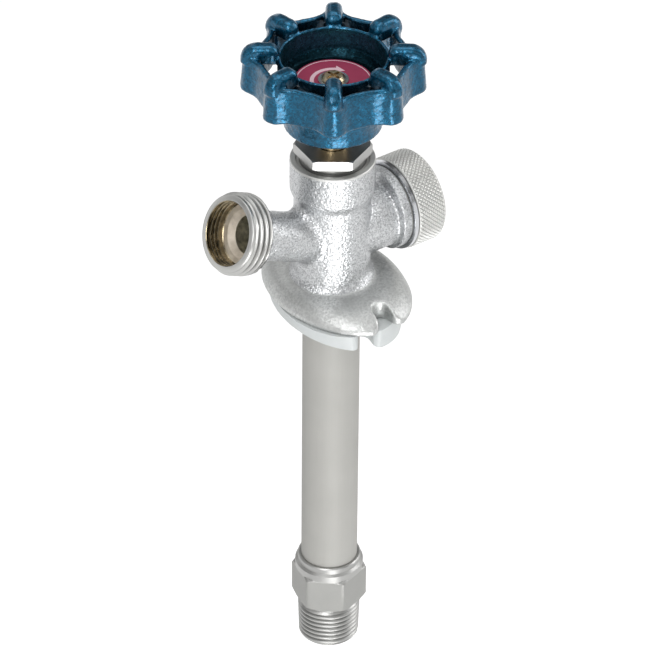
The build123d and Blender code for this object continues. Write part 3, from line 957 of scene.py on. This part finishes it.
def floor_material():
    """Pale floor that looks white with a soft shadow, and plain white in reflections."""
    tree, shader = new_material("floor")
    path = tree.nodes.new("ShaderNodeLightPath")
    feed(tree, pale, shader.inputs["Base Color"])
    feed(tree, 0.9, shader.inputs["Roughness"])
    feed(tree, white, shader.inputs["Emission Color"])
    glow = math_value(tree, "MULTIPLY", path.outputs["Is Camera Ray"], floor_glow)
    feed(tree, glow, shader.inputs["Emission Strength"])
    mirror_white = tree.nodes.new("ShaderNodeEmission")
    mix = tree.nodes.new("ShaderNodeMixShader")
    feed(tree, reflected(tree, path), mix.inputs["Fac"])
    feed(tree, shader.outputs["BSDF"], mix.inputs[1])
    feed(tree, mirror_white.outputs["Emission"], mix.inputs[2])
    feed(tree, mix.outputs["Shader"], tree.nodes["Material Output"].inputs["Surface"])


def floor():
    """Pale floor well below the object, which hangs from the wall in use."""
    level = bottom_of("inlet_fitting") - floor_drop
    corners = [(x * floor_size, y * floor_size, level) for x, y in ((-1, -1), (1, -1), (1, 1), (-1, 1))]
    mesh = bpy.data.meshes.new("floor")
    mesh.from_pydata(corners, [], [(0, 1, 2, 3)])
    floor_material()
    mesh.materials.append(materials["floor"])
    piece = bpy.data.objects.new("floor", mesh)
    bpy.context.collection.objects.link(piece)


def area_light(name, place, size, power):
    """A soft box that points at the object."""
    lamp = bpy.data.lights.new(name, "AREA")
    lamp.shape = "RECTANGLE"
    lamp.size, lamp.size_y = size
    lamp.energy = power
    light = bpy.data.objects.new(name, lamp)
    light.location = place
    light.rotation_euler = (Vector(light_aim) - Vector(place)).to_track_quat("-Z", "Y").to_euler()
    bpy.context.collection.objects.link(light)


def light_room():
    """A room of light in soft bands, dimmer towards the ground, that the camera sees as white."""
    world = bpy.data.worlds.new("studio")
    bpy.context.scene.world = world
    world.use_nodes = True
    tree = world.node_tree
    direction = tree.nodes.new("ShaderNodeTexCoord").outputs["Generated"]
    split = tree.nodes.new("ShaderNodeSeparateXYZ")
    feed(tree, direction, split.inputs["Vector"])
    bands = noise_value(tree, direction, 2.6, detail=1.0)
    banded = spread(tree, bands, 0.10, 0.9, 0.38, 0.62)
    high = spread(tree, split.outputs["Z"], 0.55, 1.25, -0.2, 1.0)
    room = math_value(tree, "MULTIPLY", banded, high)
    path = tree.nodes.new("ShaderNodeLightPath")
    bright_bands = spread(tree, bands, 0, 1, 0.45, 0.62)
    mirrored = math_value(tree, "MULTIPLY", reflected(tree, path), bright_bands)
    seen_white = math_value(tree, "MAXIMUM", mirrored, path.outputs["Is Camera Ray"])
    feed(tree, two_colours(tree, seen_white, room, white), tree.nodes["Background"].inputs["Color"])


def camera():
    """The camera at the photograph's angle."""
    turn = radians(camera_azimuth)
    lift = radians(camera_elevation)
    back = Vector((sin(turn) * cos(lift), -cos(turn) * cos(lift), sin(lift)))
    right = Vector((cos(turn), sin(turn), 0))
    up = back.cross(right)
    roll = Matrix.Rotation(radians(camera_roll), 3, back)
    right = roll @ right
    up = roll @ up
    target = right * aim_right + up * aim_up
    data = bpy.data.cameras.new("camera")
    data.lens = camera_lens
    data.sensor_width = camera_sensor
    data.clip_end = camera_clip
    eye = bpy.data.objects.new("camera", data)
    eye.matrix_world = Matrix((right, up, back)).transposed().to_4x4()
    eye.location = target + back * camera_distance
    bpy.context.collection.objects.link(eye)
    bpy.context.scene.camera = eye


dress_nodes()
cast_body()
collar_face()
outlet_head()
outlet_inside()
boss_ring()
cast_wheel()
plate_print()
knurled_cap()
casing_tube()
inlet_fitting()
floor()
light_room()
for soft_box in soft_boxes:
    area_light(*soft_box)
camera()
bpy.context.scene.view_settings.view_transform = "Standard"
